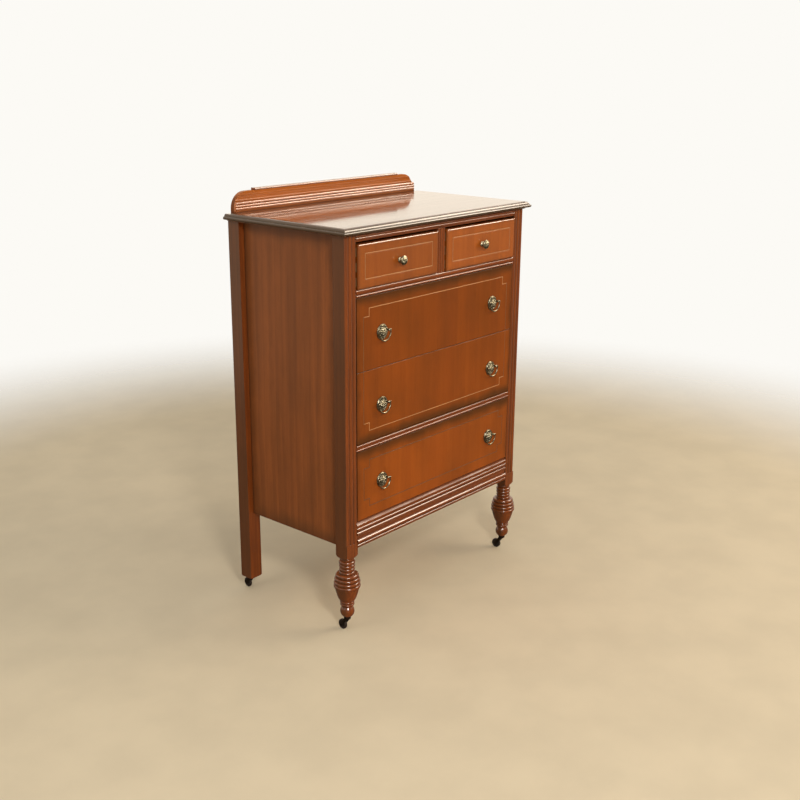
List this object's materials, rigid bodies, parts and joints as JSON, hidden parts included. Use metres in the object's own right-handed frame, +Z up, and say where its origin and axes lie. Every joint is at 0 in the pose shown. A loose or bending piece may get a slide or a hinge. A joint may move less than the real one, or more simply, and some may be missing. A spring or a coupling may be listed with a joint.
{
  "type": "highboy chest of drawers",
  "caption": "Tall wooden chest of drawers with a low gallery, reeded posts, turned front legs, bail pulls, inlaid lines and swivel casters.",
  "frame": {"origin": "on the floor, under the middle of the whole chest's box", "axes": "+X to the right seen from the front, +Y from front to back, +Z up"},
  "size_m": [0.809, 0.4744, 1.1865],
  "materials": {
    "post_wood": "red-brown lacquer, satin gloss",
    "panel_wood": "walnut panel under lacquer",
    "top_wood": "polished walnut top",
    "moulding_wood": "toned moulding, gloss lacquer",
    "front_wood": "figured veneer with toned border",
    "small_front_wood": "lighter figured veneer",
    "line_inlay": "pale inlaid line",
    "secondary_wood": "bare secondary wood",
    "drawer_wood": "bare drawer wood",
    "antique_brass": "aged brass",
    "caster_iron": "dark worn metal",
    "caster_wheel": "dark worn wheel"
  },
  "bodies": {
    "carcase": {"post_front_left": "post_wood", "post_front_right": "post_wood", "post_rear_left": "post_wood", "post_rear_right": "post_wood", "side_panel_left": "panel_wood", "side_panel_right": "panel_wood", "back_panel": "secondary_wood", "top_board": "top_wood", "gallery_board": "top_wood", "gallery_moulding": "moulding_wood", "gallery_cap": "moulding_wood", "top_rail": "moulding_wood", "drawer_divider": "moulding_wood", "upper_rail": "moulding_wood", "middle_rail": "secondary_wood", "lower_rail": "moulding_wood", "base_moulding": "moulding_wood", "rear_rails": "secondary_wood", "drawer_runners": "secondary_wood", "drawer_stops": "secondary_wood", "caster_sockets": "caster_iron"},
    "small_left_drawer": {"small_left_front": "small_front_wood", "small_left_box": "drawer_wood", "small_left_bottom": "drawer_wood", "small_left_inlay": "line_inlay", "knob_left": "antique_brass"},
    "small_right_drawer": {"small_right_front": "small_front_wood", "small_right_box": "drawer_wood", "small_right_bottom": "drawer_wood", "small_right_inlay": "line_inlay", "knob_right": "antique_brass"},
    "upper_drawer": {"upper_front": "front_wood", "upper_box": "drawer_wood", "upper_bottom": "drawer_wood", "upper_inlay": "line_inlay", "upper_plates": "antique_brass"},
    "middle_drawer": {"middle_front": "front_wood", "middle_box": "drawer_wood", "middle_bottom": "drawer_wood", "middle_inlay": "line_inlay", "middle_plates": "antique_brass"},
    "lower_drawer": {"lower_front": "front_wood", "lower_box": "drawer_wood", "lower_bottom": "drawer_wood", "lower_inlay": "line_inlay", "lower_plates": "antique_brass"},
    "upper_bail_left": {"upper_bail_left": "antique_brass"},
    "upper_bail_right": {"upper_bail_right": "antique_brass"},
    "middle_bail_left": {"middle_bail_left": "antique_brass"},
    "middle_bail_right": {"middle_bail_right": "antique_brass"},
    "lower_bail_left": {"lower_bail_left": "antique_brass"},
    "lower_bail_right": {"lower_bail_right": "antique_brass"},
    "caster_front_left": {"caster_front_left": "caster_iron"},
    "wheel_front_left": {"wheel_front_left": "caster_wheel"},
    "caster_front_right": {"caster_front_right": "caster_iron"},
    "wheel_front_right": {"wheel_front_right": "caster_wheel"},
    "caster_rear_left": {"caster_rear_left": "caster_iron"},
    "wheel_rear_left": {"wheel_rear_left": "caster_wheel"},
    "caster_rear_right": {"caster_rear_right": "caster_iron"},
    "wheel_rear_right": {"wheel_rear_right": "caster_wheel"}
  },
  "joints": [
    {"name": "small_left_drawer_slide", "type": "slide", "parent": "carcase", "child": "small_left_drawer", "axis": [0, -1, 0], "range_m": [0, 0.3]},
    {"name": "small_right_drawer_slide", "type": "slide", "parent": "carcase", "child": "small_right_drawer", "axis": [0, -1, 0], "range_m": [0, 0.3]},
    {"name": "upper_drawer_slide", "type": "slide", "parent": "carcase", "child": "upper_drawer", "axis": [0, -1, 0], "range_m": [0, 0.3]},
    {"name": "middle_drawer_slide", "type": "slide", "parent": "carcase", "child": "middle_drawer", "axis": [0, -1, 0], "range_m": [0, 0.3]},
    {"name": "lower_drawer_slide", "type": "slide", "parent": "carcase", "child": "lower_drawer", "axis": [0, -1, 0], "range_m": [0, 0.3]},
    {"name": "upper_bail_left_swing", "type": "hinge", "parent": "upper_drawer", "child": "upper_bail_left", "pos_m": [-0.245, -0.22155, 0.84325], "axis": [-1, 0, 0], "range_deg": [0, 95]},
    {"name": "upper_bail_right_swing", "type": "hinge", "parent": "upper_drawer", "child": "upper_bail_right", "pos_m": [0.245, -0.22155, 0.84325], "axis": [-1, 0, 0], "range_deg": [0, 95]},
    {"name": "middle_bail_left_swing", "type": "hinge", "parent": "middle_drawer", "child": "middle_bail_left", "pos_m": [-0.245, -0.22155, 0.64375], "axis": [-1, 0, 0], "range_deg": [0, 95]},
    {"name": "middle_bail_right_swing", "type": "hinge", "parent": "middle_drawer", "child": "middle_bail_right", "pos_m": [0.245, -0.22155, 0.64375], "axis": [-1, 0, 0], "range_deg": [0, 95]},
    {"name": "lower_bail_left_swing", "type": "hinge", "parent": "lower_drawer", "child": "lower_bail_left", "pos_m": [-0.245, -0.22155, 0.4265], "axis": [-1, 0, 0], "range_deg": [0, 95]},
    {"name": "lower_bail_right_swing", "type": "hinge", "parent": "lower_drawer", "child": "lower_bail_right", "pos_m": [0.245, -0.22155, 0.4265], "axis": [-1, 0, 0], "range_deg": [0, 95]},
    {"name": "caster_front_left_swivel", "type": "hinge", "parent": "carcase", "child": "caster_front_left", "pos_m": [-0.36625, -0.1909, 0.0382], "axis": [0, 0, 1], "continuous": true},
    {"name": "wheel_front_left_spin", "type": "hinge", "parent": "caster_front_left", "child": "wheel_front_left", "pos_m": [-0.36459, -0.17197, 0.0145], "axis": [0.9962, -0.0872, 0], "continuous": true},
    {"name": "caster_front_right_swivel", "type": "hinge", "parent": "carcase", "child": "caster_front_right", "pos_m": [0.36625, -0.1909, 0.0382], "axis": [0, 0, 1], "continuous": true},
    {"name": "wheel_front_right_spin", "type": "hinge", "parent": "caster_front_right", "child": "wheel_front_right", "pos_m": [0.36459, -0.17197, 0.0145], "axis": [0.9962, 0.0872, 0], "continuous": true},
    {"name": "caster_rear_left_swivel", "type": "hinge", "parent": "carcase", "child": "caster_rear_left", "pos_m": [-0.36625, 0.2036, 0.0382], "axis": [0, 0, 1], "continuous": true},
    {"name": "wheel_rear_left_spin", "type": "hinge", "parent": "caster_rear_left", "child": "wheel_rear_left", "pos_m": [-0.36459, 0.22253, 0.0145], "axis": [0.9962, -0.0872, 0], "continuous": true},
    {"name": "caster_rear_right_swivel", "type": "hinge", "parent": "carcase", "child": "caster_rear_right", "pos_m": [0.36625, 0.2036, 0.0382], "axis": [0, 0, 1], "continuous": true},
    {"name": "wheel_rear_right_spin", "type": "hinge", "parent": "caster_rear_right", "child": "wheel_rear_right", "pos_m": [0.36459, 0.22253, 0.0145], "axis": [0.9962, 0.0872, 0], "continuous": true}
  ]
}
